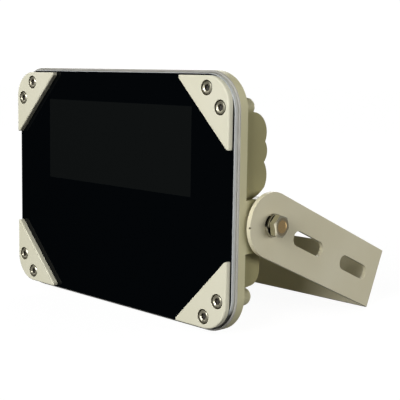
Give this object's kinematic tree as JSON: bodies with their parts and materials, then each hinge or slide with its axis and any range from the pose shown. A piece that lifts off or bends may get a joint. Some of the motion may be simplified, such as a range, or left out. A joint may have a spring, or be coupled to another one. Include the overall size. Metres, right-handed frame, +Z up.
{
  "type": "infrared illuminator",
  "caption": "Flat infrared flood lamp: black glass front with corner clamp plates on a finned cast housing that tilts on a folded U bracket.",
  "frame": {"origin": "centre of the base, on the surface that the lamp stands on", "axes": "-Y is the way the glass faces, +X its right side seen from the front, +Z up"},
  "size_m": [0.2522, 0.1574, 0.166],
  "materials": {
    "coat": "cream powder coat, fine texture",
    "plate_coat": "cream powder coat",
    "glass": "polished toughened glass, black behind",
    "black_sheet": "polished",
    "rubber": "matt",
    "stainless": "turned and rolled",
    "black_nylon": "moulded",
    "led_board": "white mask",
    "led": "moulded",
    "lens": "polished",
    "thermal_pad": "matt",
    "driver_board": "solder mask",
    "ferrite": "sintered",
    "can": "drawn",
    "terminal": "moulded",
    "lead": "extruded"
  },
  "bodies": {
    "bracket": {"mounting_bracket": "coat"},
    "head": {"rear_housing": "coat", "glass_gasket": "rubber", "ir_filter": "black_sheet", "front_glass": "glass", "corner_plate_top_right": "plate_coat", "corner_plate_bottom_right": "plate_coat", "corner_plate_bottom_left": "plate_coat", "corner_plate_top_left": "plate_coat", "corner_screws": "stainless", "thermal_pad": "thermal_pad", "led_board": "led_board", "led_emitters": "led", "lens_plate": "lens", "driver_board": "driver_board", "driver_inductor": "ferrite", "driver_capacitors": "can", "terminal_block": "terminal", "board_screws": "stainless", "driver_screws": "stainless", "led_leads": "lead", "gland_body": "black_nylon", "gland_oring": "rubber", "gland_seal": "rubber", "gland_locknut": "black_nylon", "gland_nut": "black_nylon", "friction_washer_right": "black_nylon", "flat_washer_right": "stainless", "spring_washer_right": "stainless", "pivot_bolt_right": "stainless", "friction_washer_left": "black_nylon", "flat_washer_left": "stainless", "spring_washer_left": "stainless", "pivot_bolt_left": "stainless"}
  },
  "joints": [
    {"name": "head_tilt", "type": "hinge", "parent": "bracket", "child": "head", "pos_m": [0, -0.0445, 0.07023], "axis": [1, 0, 0], "range_deg": [-114, 66]}
  ]
}
